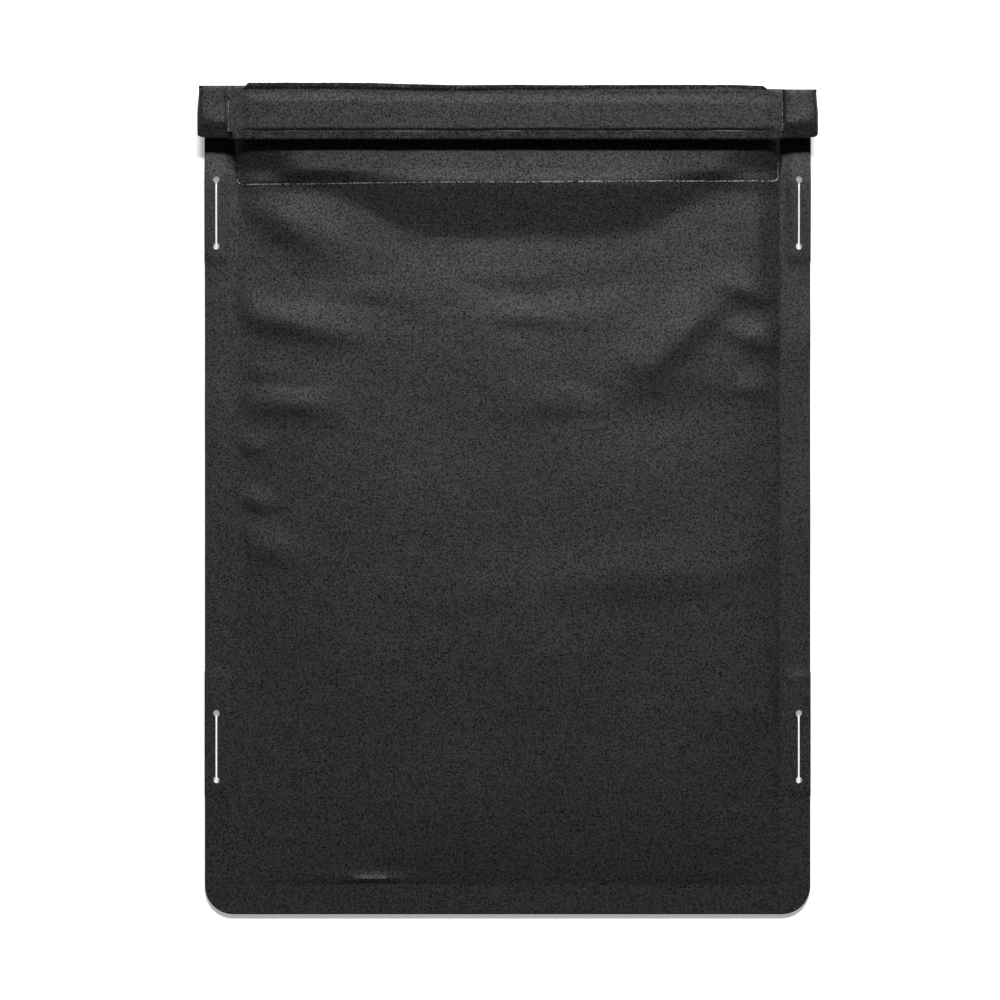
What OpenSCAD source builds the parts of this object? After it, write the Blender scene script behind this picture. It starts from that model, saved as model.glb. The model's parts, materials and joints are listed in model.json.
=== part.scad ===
// Film changing bag: a flat light-tight pouch of coated fabric with welded edges.
// It lies on its back. +X is across the bag, +Y points to the fold, +Z is up.
// The origin is at the middle of the footprint, on the surface the bag lies on.

/* [Pouch] */
// Width across the welded side edges
pouch_w = 254; // [230:1:300]
// Length from the fold to the bottom edge, with the flap folded over
folded_l = 345; // [280:1:420]
// Radius of the two bottom corners
corner_r = 12; // [6:1:16]
// Width of the welded margin down both sides and along the bottom
weld_w = 12; // [11:0.5:15]
// Clear height inside the pouch, between the two linings
cavity_h = 4.6; // [4.4:0.1:12]
// Distance over which the front rises from the weld to its full height
slope_run = 6; // [4:0.5:10]

/* [Materials] */
// Thickness of the coated outer fabric
fabric_t = 0.5; // [0.4:0.1:0.8]
// Thickness of the lining and of the pocket films
film_t = 0.3; // [0.2:0.1:0.4]
// Thickness of the seam film and of the slit reinforcements between the two margins
seam_t = 0.7; // [0.5:0.1:0.9]
// Thickness of the outer patches
patch_t = 0.4; // [0.3:0.1:0.6]
// Gap between soft layers that move past each other
soft_gap = 0.3; // [0.3:0.1:0.6]

/* [Flap] */
// Depth of the folded flap, from the fold to the mouth edge
flap_h = 21.5; // [21:0.5:30]
// How far each side tab of the flap bulges past the pouch
tab_bulge = 1.4; // [0.5:0.1:3]
// Width of the patch on the flap
flap_patch_w = 229; // [200:1:229]
// Radius of the flap patch's corners at the fold
flap_patch_r = 6; // [2:0.5:8]
// Width of the bars in the two lips
bar_w = 218; // [190:1:218]
// Height of the bars in the two lips
bar_h = 12.4; // [10:0.1:13]
// Thickness of the bars in the two lips
bar_t = 1.2; // [1.1:0.1:2]
// Distance from the fold to the near edge of the bars
bar_drop = 4.3; // [3.5:0.1:5]
// Corner radius of the bars
bar_r = 3.4; // [1:0.1:5]

/* [Magnets] */
// Number of magnets in each bar
magnet_count = 9; // [5:2:9]
// Length of each magnet, along the bar
magnet_l = 18; // [12:1:20]
// Width of each lip magnet, across the bar
magnet_w = 8; // [5:1:9]
// Thickness of each magnet
magnet_t = 0.9; // [0.7:0.1:0.9]
// Clearance around each magnet in its window
magnet_gap = 0.15; // [0.1:0.05:0.3]

/* [Landing] */
// Width of the landing patch on the pouch front
landing_w = 227; // [200:1:227]
// Distance from the fold to the lower edge of the landing patch
landing_drop = 38.6; // [30:0.2:60]
// Height of the magnet strip under the landing patch
strip_h = 10; // [9:0.5:10]
// Thickness of the magnet strip
strip_t = 1.0; // [1:0.1:1.4]
// Distance from the fold to the near edge of the strip
strip_drop = 7.2; // [7:0.1:8]

/* [Lash slits] */
// Distance between the two end holes of a slit
slit_pitch = 28; // [20:1:40]
// Diameter of the round end holes
slit_hole_d = 2.75; // [2:0.25:4]
// Width of the straight cut between the end holes
slit_cut_w = 1.0; // [0.6:0.1:1.2]
// Distance from the pouch's side edge to the slit
slit_inset = 4.8; // [4:0.1:6]
// Distance from the fold to the middle of the upper slits
upper_slit_drop = 50.8; // [45:0.1:70]
// Distance from the bottom edge to the middle of the lower slits
lower_slit_rise = 70.3; // [50:0.1:100]
// Width of a slit reinforcement
slit_patch_w = 10; // [8:0.5:10]
// Length of a slit reinforcement
slit_patch_l = 52; // [46:1:60]
// How far a reinforcement's middle lies above its slit's middle
slit_patch_lift = 5.5; // [0:0.5:6]

/* [Hidden] */
$fn = 48;
past = 1;                 // how far a cutting solid runs past the face it cuts
colour_fabric = [0.13, 0.13, 0.14];
colour_patch = [0.17, 0.17, 0.18];
colour_lining = [0.05, 0.05, 0.05];
colour_bar = [0.25, 0.25, 0.27];
colour_magnet = [0.7, 0.7, 0.72];

// Places along Y
fold_y = folded_l / 2;
bottom_y = -folded_l / 2;
weld_y = bottom_y + weld_w;
mouth_y = fold_y - flap_h;

// The pouch's layers, from the surface it lies on upwards
lining_top = fabric_t + film_t;
seam_top = fabric_t + seam_t;
margin_top = seam_top + fabric_t;
front_z = lining_top + cavity_h + film_t + fabric_t;

// The flap's layers, from the landing strip's cover upwards
landing_z = front_z + strip_t + patch_t;
front_lip_z = landing_z + soft_gap;
front_bar_z = front_lip_z + fabric_t;
front_pocket_z = front_bar_z + bar_t;
front_lip_top = front_pocket_z + film_t;
back_pocket_z = front_lip_top + soft_gap;
back_bar_z = back_pocket_z + film_t;
back_lip_z = back_bar_z + bar_t;
flap_patch_z = back_lip_z + fabric_t;
flap_top = flap_patch_z + patch_t;

// The fold's two walls, which stand upright at the +Y end
inner_fold_y = fold_y - fabric_t - cavity_h;
front_end_y = inner_fold_y;
lip_root_y = inner_fold_y - fabric_t - soft_gap;

// The front panel's dome
interior_w = pouch_w - 2 * weld_w;
slope_rise = front_z - seam_top;
slope_a = atan2(slope_rise, slope_run);
dome_base_w = interior_w + 2 * fabric_t;
dome_top_w = dome_base_w - 2 * slope_run;
plate = 0.01;             // thickness of the two plates a dome is stretched between

// The lips
binding_r = 1;
binding_y = mouth_y + binding_r;
lip_edge_y = mouth_y + 2 * binding_r;
bar_y = fold_y - bar_drop - bar_h / 2;
strip_y = fold_y - strip_drop - strip_h / 2;
pocket_root_y = fold_y - 2;
magnet_pitch = bar_w / magnet_count;

// The slits
slit_x = pouch_w / 2 - slit_inset;
upper_slit_y = fold_y - upper_slit_drop;
lower_slit_y = bottom_y + lower_slit_rise;

// A plate from the bottom edge to end_y, with the two round bottom corners
module pouch_plate(end_y, thickness) {
    linear_extrude(thickness) {
        translate([-pouch_w / 2, bottom_y + corner_r]) square([pouch_w, end_y - bottom_y - corner_r]);
        translate([corner_r - pouch_w / 2, bottom_y]) square([pouch_w - 2 * corner_r, corner_r + past]);
        for (side = [-1, 1])
            translate([side * (pouch_w / 2 - corner_r), bottom_y + corner_r]) circle(corner_r);
    }
}

// A plate centred on X that spans start_y to end_y
module strip_plate(width, start_y, end_y, thickness) {
    translate([-width / 2, start_y, 0]) cube([width, end_y - start_y, thickness]);
}

// A plate with four round corners, centred on the origin
module rounded_plate(width, height, radius, thickness) {
    linear_extrude(thickness) {
        square([width - 2 * radius, height], center = true);
        square([width, height - 2 * radius], center = true);
        for (x = [-1, 1], y = [-1, 1])
            translate([x * (width / 2 - radius), y * (height / 2 - radius)]) circle(radius);
    }
}

// The solid under a surface that lies depth inside the front panel's outer skin
module dome(depth, below = 0, past_end = 0) {
    base_w = dome_base_w - 2 * depth / sin(slope_a) + 2 * below / tan(slope_a);
    top_w = dome_top_w - 2 * depth * tan(slope_a / 2);
    base_y = weld_y - (base_w - interior_w) / 2;
    top_y = weld_y - (top_w - interior_w) / 2;
    end_y = front_end_y + past_end;
    hull() {
        translate([-base_w / 2, base_y, seam_top - below]) cube([base_w, end_y - base_y, plate]);
        translate([-top_w / 2, top_y, front_z - depth - plate]) cube([top_w, end_y - top_y, plate]);
    }
}

// One slit's cutting tool: a straight cut with a round hole at each end
module slit_tool() {
    for (end = [-1, 1])
        translate([0, end * slit_pitch / 2, -past]) cylinder(d = slit_hole_d, h = margin_top + 2 * past);
    translate([-slit_cut_w / 2, -slit_pitch / 2, -past])
        cube([slit_cut_w, slit_pitch, margin_top + 2 * past]);
}

module all_slits() {
    for (side = [-1, 1], y = [upper_slit_y, lower_slit_y])
        translate([side * slit_x, y, 0]) slit_tool();
}

// The reinforcement welded between the margins around one slit
module slit_patch(side, y) {
    color(colour_patch) difference() {
        translate([side * slit_x, y + slit_patch_lift, fabric_t])
            rounded_plate(slit_patch_w, slit_patch_l, 2.5, seam_t);
        translate([side * slit_x, y, 0]) slit_tool();
    }
}

// The weld down one side, open around the two reinforcements
module side_seam(side) {
    window_w = slit_patch_w + 0.2;
    window_l = slit_patch_l + 0.2;
    color(colour_lining) difference() {
        translate([side > 0 ? pouch_w / 2 - weld_w : -pouch_w / 2, weld_y, fabric_t])
            cube([weld_w, front_end_y - weld_y, seam_t]);
        for (y = [upper_slit_y, lower_slit_y])
            translate([side * slit_x, y + slit_patch_lift, fabric_t - past])
                rounded_plate(window_w, window_l, 2.6, seam_t + 2 * past);
    }
}

// Places each child at a magnet's middle, in a row centred on X
module magnet_row() {
    for (i = [0 : magnet_count - 1])
        translate([(i - (magnet_count - 1) / 2) * magnet_pitch, 0, 0]) children();
}

// A bar with one window for each magnet
module magnet_bar(height, width_of_magnet, thickness) {
    window = [magnet_l + 2 * magnet_gap, width_of_magnet + 2 * magnet_gap, thickness + 2 * past];
    color(colour_bar) difference() {
        rounded_plate(bar_w, height, bar_r, thickness);
        magnet_row() translate([0, 0, thickness / 2]) cube(window, center = true);
    }
}

// The row of magnets that sits in a bar, resting on the layer under it
module magnets(width_of_magnet) {
    color(colour_magnet) magnet_row() translate([0, 0, magnet_t / 2])
        cube([magnet_l, width_of_magnet, magnet_t], center = true);
}

// The folded binding along a lip's mouth edge: a flat strip with a round front edge
module lip_binding(width, z) {
    color(colour_fabric) {
        translate([-width / 2, binding_y, z + binding_r]) rotate([0, 90, 0])
            cylinder(r = binding_r, h = width);
        translate([-width / 2, binding_y, z]) cube([width, binding_r, 2 * binding_r]);
    }
}

// One side of the flap, where both lips are welded together: a flat roll with a round mouth edge
module tab(side) {
    roll_r = (flap_patch_z - front_lip_z) / 2;
    inner_x = flap_patch_w / 2 + soft_gap;
    tab_w = pouch_w / 2 + tab_bulge - inner_x;
    roll_y = mouth_y + roll_r;
    color(colour_fabric) translate([side > 0 ? inner_x : -inner_x - tab_w, 0, front_lip_z]) {
        translate([0, roll_y, roll_r]) rotate([0, 90, 0]) cylinder(r = roll_r, h = tab_w);
        translate([0, roll_y, 0]) cube([tab_w, fold_y - fabric_t - soft_gap - roll_y, 2 * roll_r]);
    }
}

module back_panel() {
    color(colour_fabric) difference() {
        pouch_plate(fold_y, fabric_t);
        all_slits();
    }
}

module front_panel() {
    color(colour_fabric) difference() {
        union() {
            translate([0, 0, seam_top]) pouch_plate(front_end_y, fabric_t);
            dome(0);
        }
        dome(fabric_t, past, past);
        all_slits();
    }
}

module back_lining() {
    color(colour_lining) translate([0, 0, fabric_t])
        strip_plate(interior_w, weld_y, front_end_y, film_t);
}

module front_lining() {
    skin_gap = 0.02;
    color(colour_lining) difference() {
        dome(fabric_t + skin_gap);
        dome(fabric_t + film_t, past, past);
    }
}

module side_seam_left() { side_seam(-1); }

module side_seam_right() { side_seam(1); }

module bottom_seam() {
    color(colour_lining) translate([0, 0, fabric_t]) intersection() {
        pouch_plate(fold_y, seam_t);
        translate([-pouch_w / 2, bottom_y, 0]) cube([pouch_w, weld_w, seam_t]);
    }
}

module slit_patch_upper_left() { slit_patch(-1, upper_slit_y); }

module slit_patch_upper_right() { slit_patch(1, upper_slit_y); }

module slit_patch_lower_left() { slit_patch(-1, lower_slit_y); }

module slit_patch_lower_right() { slit_patch(1, lower_slit_y); }

// A patch that lies on the front panel, and steps up over the magnet strip near the fold
module landing_patch() {
    step_y = strip_y - strip_h / 2;
    step_run = 1.2;
    cover_end_y = strip_y + strip_h / 2;
    color(colour_patch) {
        difference() {
            intersection() {
                dome(-patch_t);
                translate([0, 0, front_z - slope_rise / 2])
                    strip_plate(landing_w, fold_y - landing_drop, step_y - step_run, slope_rise);
            }
            dome(0, past, past);
        }
        translate([-bar_w / 2, 0, front_z]) rotate([90, 0, 90]) linear_extrude(bar_w) polygon([
            [step_y - step_run, 0], [step_y, strip_t], [cover_end_y, strip_t],
            [cover_end_y, strip_t + patch_t], [step_y, strip_t + patch_t], [step_y - step_run, patch_t]
        ]);
    }
}

module landing_strip() {
    translate([0, strip_y, front_z]) magnet_bar(strip_h, magnet_w - 2, strip_t);
}

module landing_magnets() {
    translate([0, strip_y, front_z]) magnets(magnet_w - 2);
}

// The back wall's bend: it stands upright from the back panel to the back lip
module fold_outer() {
    color(colour_fabric) translate([0, 0, fabric_t + soft_gap])
        strip_plate(pouch_w, fold_y - fabric_t, fold_y, back_lip_z - fabric_t - 2 * soft_gap);
}

// The front wall's bend: it stands upright from the front panel to the front lip
module fold_inner() {
    color(colour_fabric) translate([0, 0, front_z + soft_gap])
        strip_plate(interior_w, inner_fold_y - fabric_t, inner_fold_y, front_lip_z - front_z - 2 * soft_gap);
}

module front_lip_panel() {
    color(colour_fabric) translate([0, 0, front_lip_z])
        strip_plate(flap_patch_w, lip_edge_y, inner_fold_y, fabric_t);
}

module front_lip_pocket() {
    color(colour_lining) translate([0, 0, front_pocket_z])
        strip_plate(flap_patch_w, lip_edge_y, pocket_root_y, film_t);
}

module front_lip_bar() {
    translate([0, bar_y, front_bar_z]) magnet_bar(bar_h, magnet_w, bar_t);
}

module front_lip_magnets() {
    translate([0, bar_y, front_bar_z]) magnets(magnet_w);
}

module front_lip_binding() { lip_binding(flap_patch_w, front_lip_z); }

module tab_left() { tab(-1); }

module tab_right() { tab(1); }

module back_lip_panel() {
    color(colour_fabric) translate([0, 0, back_lip_z])
        strip_plate(flap_patch_w, lip_edge_y, fold_y, fabric_t);
}

module back_lip_pocket() {
    color(colour_lining) translate([0, 0, back_pocket_z])
        strip_plate(flap_patch_w, lip_edge_y, pocket_root_y, film_t);
}

module back_lip_bar() {
    translate([0, bar_y, back_bar_z]) magnet_bar(bar_h, magnet_w, bar_t);
}

module back_lip_magnets() {
    translate([0, bar_y, back_bar_z]) magnets(magnet_w);
}

module back_lip_binding() { lip_binding(flap_patch_w, flap_patch_z - 2 * binding_r); }

// The patch over the back lip, with its round corners at the fold
module flap_patch() {
    color(colour_patch) translate([0, 0, flap_patch_z]) linear_extrude(patch_t) {
        translate([-flap_patch_w / 2, mouth_y + binding_r])
            square([flap_patch_w, flap_h - binding_r - flap_patch_r]);
        translate([flap_patch_r - flap_patch_w / 2, fold_y - flap_patch_r - past])
            square([flap_patch_w - 2 * flap_patch_r, flap_patch_r + past]);
        for (side = [-1, 1])
            translate([side * (flap_patch_w / 2 - flap_patch_r), fold_y - flap_patch_r]) circle(flap_patch_r);
    }
}

back_panel();
front_panel();
back_lining();
front_lining();
side_seam_left();
side_seam_right();
bottom_seam();
slit_patch_upper_left();
slit_patch_upper_right();
slit_patch_lower_left();
slit_patch_lower_right();
landing_patch();
landing_strip();
landing_magnets();
fold_outer();
fold_inner();
front_lip_panel();
front_lip_pocket();
front_lip_bar();
front_lip_magnets();
front_lip_binding();
tab_left();
tab_right();
back_lip_panel();
back_lip_pocket();
back_lip_bar();
back_lip_magnets();
back_lip_binding();
flap_patch();
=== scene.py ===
"""A film changing bag: a flat light-tight pouch of black coated fabric, on its back with its flap folded.

Lengths are millimetres in the CAD model's frame until a mesh is made in metres.
+X is across the bag, +Y points to the fold and +Z is up.
"""

import json
import math

import bpy
import numpy as np
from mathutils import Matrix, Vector
from mathutils.geometry import delaunay_2d_cdt


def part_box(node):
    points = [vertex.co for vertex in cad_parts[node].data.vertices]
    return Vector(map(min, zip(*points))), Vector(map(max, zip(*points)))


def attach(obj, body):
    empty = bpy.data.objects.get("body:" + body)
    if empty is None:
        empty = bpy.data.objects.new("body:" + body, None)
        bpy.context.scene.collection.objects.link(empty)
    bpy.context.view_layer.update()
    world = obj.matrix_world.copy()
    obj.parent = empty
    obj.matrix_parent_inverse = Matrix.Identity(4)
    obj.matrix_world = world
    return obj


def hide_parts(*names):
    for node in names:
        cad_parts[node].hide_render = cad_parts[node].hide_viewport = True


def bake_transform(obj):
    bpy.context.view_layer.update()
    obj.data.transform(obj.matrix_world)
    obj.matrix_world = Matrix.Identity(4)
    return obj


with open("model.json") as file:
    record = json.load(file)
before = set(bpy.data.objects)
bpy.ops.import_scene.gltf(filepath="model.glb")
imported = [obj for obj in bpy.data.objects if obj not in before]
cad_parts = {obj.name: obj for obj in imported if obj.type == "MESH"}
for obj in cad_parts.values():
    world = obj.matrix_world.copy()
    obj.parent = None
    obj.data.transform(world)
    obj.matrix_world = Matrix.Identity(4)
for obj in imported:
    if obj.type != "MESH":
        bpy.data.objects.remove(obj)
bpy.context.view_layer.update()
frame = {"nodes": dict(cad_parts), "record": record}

MM = 0.001


def box_mm(node):
    low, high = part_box(node)
    return np.array(low) / MM, np.array(high) / MM


# ---- sizes from the frame

back_low, back_high = box_mm("back_panel")
seam_low, seam_high = box_mm("side_seam_right")
_, front_high = box_mm("front_panel")
strip_low, strip_high = box_mm("landing_strip")
landing_low, landing_high = box_mm("landing_patch")
_, flap_high = box_mm("flap_patch")
bar_low, bar_high = box_mm("back_lip_bar")
tab_low, tab_high = box_mm("tab_right")
front_lip_low, front_lip_high = box_mm("front_lip_panel")
_, front_pocket_high = box_mm("front_lip_pocket")
back_pocket_low, back_pocket_high = box_mm("back_lip_pocket")

HALF_W = back_high[0]
FOLD_Y = back_high[1] + 0.6
BOTTOM_Y = back_low[1]
FABRIC = back_high[2]
CORNER_R = 12.0
WELD_X = seam_low[0]
WELD_Y = seam_low[1]
SEAM_TOP = seam_high[2]
MARGIN_TOP = SEAM_TOP + FABRIC
PLATEAU_Z = front_high[2]
FRONT_END_Y = front_high[1]
TAB_X = tab_high[0] + 0.3
MOUTH_Y = tab_low[1] + 0.4
TAB_MOUTH_Y = tab_low[1] + 1.2
FLAP_HALF_W = flap_high[0]
SLIT_CUT_W = 0.85

SLITS = [
    (m["pos_m"][0] / MM, m["pos_m"][1] / MM, m["dims"]["spacing_y_mm"], m["dims"]["hole_r_mm"])
    for m in frame["record"]["mounts"]
    if m["kind"] == "bolt_pattern"
]
SLIT_PATCHES = [
    box_mm(f"slit_patch_{row}_{side}") for row in ("upper", "lower") for side in ("left", "right")
]

# ---- small maths


def smooth(t):
    """0 before t = 0, 1 after t = 1, and an even curve between."""
    t = np.clip(t, 0.0, 1.0)
    return t * t * (3 - 2 * t)


def bell(d, width):
    return np.exp(-((d / width) ** 2))


def rounded_box_distance(x, y, half_x, half_y, radius):
    """Distance to a rounded rectangle about the origin, negative inside."""
    dx = np.abs(x) - (half_x - radius)
    dy = np.abs(y) - (half_y - radius)
    outside = np.hypot(np.maximum(dx, 0), np.maximum(dy, 0))
    return outside + np.minimum(np.maximum(dx, dy), 0) - radius


class Waves:
    """A smooth random surface about 1 high, of waves with lengths from short to long."""

    def __init__(self, seed, short, long, count=14):
        rng = np.random.default_rng(seed)
        turn = rng.uniform(0, 2 * math.pi, count)
        number = 2 * math.pi / rng.uniform(short, long, count)
        self.kx, self.ky = number * np.cos(turn), number * np.sin(turn)
        self.phase = rng.uniform(0, 2 * math.pi, count)
        self.scale = math.sqrt(2 / count) / 1.5

    def __call__(self, x, y):
        x, y = np.broadcast_arrays(np.asarray(x, float), np.asarray(y, float))
        total = np.zeros(x.shape)
        for kx, ky, phase in zip(self.kx, self.ky, self.phase):
            total += np.sin(kx * x + ky * y + phase)
        return total * self.scale


# ---- the shape of the front

# Folds in the front sheet: middle x and y, turn from X in degrees, half length, half width, height
FRONT_FOLDS = [
    # puckers along the left weld
    (-92, 75.5, -10, 26, 6.5, 1.76),
    (-103, 55, 0, 9, 4.0, 0.52),
    (-93, 41, -2, 20, 5.5, 1.29),
    (-109, 23.5, -3, 9, 4.0, 0.99),
    (-108, 0.5, -4, 9, 3.8, 1.05),
    (-102, -19, -22, 13, 6.0, 0.94),
    (-92, 117, -30, 20, 9.0, 1.87),
    # puckers along the right weld
    (72, 70, 45, 26, 9.0, 1.82),
    (68, 38, 5, 26, 12.0, -0.85),
    (57, 57, 10, 8, 4.5, 0.61),
    (102, 88, -20, 13, 5.0, 1.22),
    (106, 67.5, -20, 11, 5.0, 1.70),
    (101, 47.8, 0, 10, 3.6, 0.68),
    (104, 112, 90, 26, 5.0, 0.85),
    # soft folds between them
    (5, 87.5, 0, 16, 6.0, -0.53),
    (35, 92, 8, 26, 6.0, -0.44),
    (12, 78, 0, 22, 4.5, 0.50),
    (5, 72, 0, 14, 4.0, -0.24),
    (-42, 88, 4, 22, 8.0, 0.40),
    (18, 42, 0, 16, 7.0, 0.70),
    (58, -31, 3, 42, 10.0, 0.80),
    (-20, -38, 0, 35, 10.0, 0.30),
    (95, -88, 0, 14, 7.0, 0.40),
    (-56, -158.1, 0, 14, 1.3, 1.30),
    (48, -152, 0, 6, 3.0, 0.36),
    # fine creases
    (-60, 82.6, -6, 20, 1.5, -0.20),
    (-58, 95, 35, 6, 2.2, -0.34),
    (-13, 91, -10, 8, 1.4, -0.24),
    (-36, 77.5, -12, 6, 1.4, 0.18),
    (32, 50, -15, 8, 1.8, -0.34),
    (86, 68, -38, 6, 1.3, -0.20),
    (104, -84, -78, 9, 0.8, 0.10),
    (2.5, -50, 90, 60, 1.6, 0.32),
]
# Where the margins lift off the table: side, y, reach towards the fold, reach away from it, height
MARGIN_BOWS = [
    (-1, 133, 10, 40, 1.17),
    (-1, 40, 12, 12, 0.39),
    (1, 133, 10, 24, 1.17),
    (1, 72, 12, 14, 0.52),
    (1, -6, 16, 20, 0.45),
]
BODY_Z = 4.35
HELD_Z = PLATEAU_Z - 0.08

large_waves = Waves(3, 45, 110)
small_waves = Waves(8, 9, 22)
crumple = Waves(5, 3.5, 8, 20)


def fold_sum(x, y, folds):
    total = 0
    for mx, my, turn, half_l, half_w, height in folds:
        c, s = math.cos(math.radians(turn)), math.sin(math.radians(turn))
        along = (x - mx) * c + (y - my) * s
        across = -(x - mx) * s + (y - my) * c
        width = half_w * np.where(across * height > 0, 1.3, 0.82)
        total += 0.85 * height * bell(along, half_l) * bell(across, width)
    return total


def slit_patch_print(x, y):
    """Where the slit reinforcements lift the sheet over them."""
    total = 0
    for low, high in SLIT_PATCHES:
        mid, half = (low + high) / 2, (high - low) / 2
        d = rounded_box_distance(x - mid[0], y - mid[1], half[0], half[1], 2.5)
        total += 0.38 * (1 - smooth((d + 0.3) / 1.0))
    return total


def soft_ramp(t, ease=0.10):
    """0 before t = 0 and 1 after t = 1, straight between, with eased corners."""
    return 0.5 * (np.sqrt(t * t + ease * ease) - np.sqrt((t - 1) ** 2 + ease * ease) + 1)


def margin_lift(x, y):
    """How far the welded margins bow up off the table."""
    out = smooth((np.abs(x) - WELD_X + 3) / 12)
    total = 0
    for side, middle, up, down, height in MARGIN_BOWS:
        away = y - middle
        total += height * bell(away, np.where(away > 0, up, down)) * (np.sign(x) == side)
    return total * out


def body_height(x, y, side, low):
    """The loose part of the front: nearly empty, and lowest below the magnet strip."""
    lowest = 111.5 + 19 * smooth((np.abs(x - 6) - 36) / 52)
    below = np.maximum(lowest - y, 0)
    hollow = 1.7 * np.exp(-below / 36) * bell(x, 80)
    run = 134.5 - lowest
    held = 0.19 * run * soft_ramp((y - lowest) / run) * (1 - np.exp(-np.maximum(side, 0) / 4.0))
    from_side = np.maximum(side, 0)
    from_side = np.where(x < 0, from_side**2 / (from_side + 24) / 22, from_side / 11)
    rise = (1 - np.exp(-from_side)) * (1 - np.exp(-np.maximum(low, 0) / 26.0))
    sunk = 1.7 * smooth((-60 - y) / 95) * smooth((-5 - x) / 105)
    rim = 0.25 * bell(y - 137, 8.5) * bell(x / 95, 1.0) * smooth(side / 12)
    return MARGIN_TOP + (BODY_Z - MARGIN_TOP - hollow - sunk) * rise + held + rim


def front_z(x, y):
    """Height of the front sheet's outer face."""
    side = WELD_X - np.abs(x)
    low = y - WELD_Y
    inside = smooth(side / np.where(x < 0, 9, 6)) * smooth(low / 3)
    z = body_height(x, y, side, low)
    z = z + inside * (0.25 * large_waves(x, y) + 0.045 * small_waves(x, y) + 0.004 * crumple(x, y))
    z = z + inside * fold_sum(x, y, FRONT_FOLDS)
    z = z + 0.09 * bell(x - 4.5, 1.3) * smooth((55 - y) / 60) * inside
    z = np.maximum(z, MARGIN_TOP)
    # the landing patch keeps the front up, except beside the welds
    early = smooth((y - 133.6) / 6) * smooth((side - 14) / 16)
    z = z + (HELD_Z - z) * early * np.where(z > HELD_Z, 0.7, 1.0)
    # under the flap the magnet strip holds the front up, nearly to its ends
    strip_hold = smooth((y - 138) / 11) * (1 - np.exp(-np.maximum(side, 0) / 2.5))
    z = z + (HELD_Z - z) * strip_hold
    # welds: a pressed line inside each margin
    z = z - np.where(x < 0, 0.02, 0.11) * bell(side - 0.9, 0.5) * smooth((low + 14) / 4)
    z = z - 0.03 * bell(low - 0.9, 0.5)
    margin = 1 - smooth(side / 4 + 1)
    return z + margin_lift(x, y) + (slit_patch_print(x, y) + 0.03 * np.abs(small_waves(x, y))) * margin


def landing_z(x, y):
    """Height of the landing patch's outer face, over the front and over the magnet strip."""
    strip_y = (strip_low[1] + strip_high[1]) / 2
    strip_half = (strip_high[1] - strip_low[1]) / 2
    d = rounded_box_distance(x, y - strip_y, strip_high[0], strip_half, 3.0)
    over_strip = 1 - smooth((d - 0.2) / 2.0)
    on_front = front_z(x, y) + 0.45 + 0.15 * bell(y - 138.4, 2.8) * (bell(x + 62, 30) + bell(x - 60, 20))
    return on_front * (1 - over_strip) + (strip_high[2] + 0.4) * over_strip


# ---- mesh makers


def add_object(name, data):
    obj = bpy.data.objects.new(name, data)
    bpy.context.collection.objects.link(obj)
    return obj


def new_object(name, points, faces, cloth, materials, face_material):
    """cloth gives each point's place on the flat cloth, which the weave follows."""
    mesh = bpy.data.meshes.new(name)
    mesh.from_pydata((np.asarray(points) * MM).tolist(), [], faces)
    attribute = mesh.attributes.new("cloth", "FLOAT_VECTOR", "POINT")
    attribute.data.foreach_set("vector", np.asarray(cloth, np.float32).ravel())
    for material in materials:
        mesh.materials.append(material)
    mesh.polygons.foreach_set("material_index", np.asarray(face_material, np.int32))
    mesh.validate()
    mesh.shade_smooth()
    mesh.set_sharp_from_angle(angle=math.radians(35))
    mesh.update()
    return add_object(name, mesh)


def graded(start, stop, step, fine=(), fine_step=0.35, reach=1.6):
    """Grid lines about step apart, and closer together round the fine places."""
    lines = list(np.linspace(start, stop, max(2, round((stop - start) / step) + 1)))
    for place in fine:
        lines = [v for v in lines if abs(v - place) > reach + step * 0.4 or v in (start, stop)]
        lines += list(np.arange(place - reach, place + reach + 1e-6, fine_step))
    return np.array(sorted(v for v in set(np.round(lines, 4)) if start <= v <= stop))


def round_corners(half, low, r, count):
    """The points of the left and of the right corner at the low end of an outline."""
    arc = np.linspace(0, math.pi / 2, count)
    left = [(-half + r - r * math.cos(a), low + r - r * math.sin(a)) for a in arc]
    return left, [(half - r + r * math.sin(a), low + r - r * math.cos(a)) for a in arc]


def pouch_outline(end_y, step):
    """The pouch's outline, anticlockwise, with round bottom corners, up to end_y."""
    r = CORNER_R
    left, right = round_corners(HALF_W, BOTTOM_Y, r, 13)
    across = np.arange(-HALF_W + r + step, HALF_W - r - step / 2, step)
    up = np.arange(BOTTOM_Y + r + step, end_y - step / 2, step)
    top = np.arange(-HALF_W + step, HALF_W - step / 2, step)
    loop = left + [(x, BOTTOM_Y) for x in across] + right
    loop += [(HALF_W, y) for y in up] + [(HALF_W, end_y)] + [(x, end_y) for x in top[::-1]]
    return loop + [(-HALF_W, end_y)] + [(-HALF_W, y) for y in up[::-1]]


def slit_outline(x, y, pitch, radius):
    """A straight cut with a round hole at each end."""
    half_cut = math.asin(SLIT_CUT_W / 2 / radius)
    arc = np.linspace(-math.pi / 2 + half_cut, 1.5 * math.pi - half_cut, 19)
    upper = [(x + radius * math.cos(a), y + pitch / 2 + radius * math.sin(a)) for a in arc]
    lower = [(2 * x - px, 2 * y - py) for px, py in upper]
    ends = pitch / 2 - radius - 1
    rows = np.linspace(-ends, ends, 13)
    left = [(x - SLIT_CUT_W / 2, y - v) for v in rows]
    right = [(x + SLIT_CUT_W / 2, y + v) for v in rows]
    return upper + left + lower + right


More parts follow.
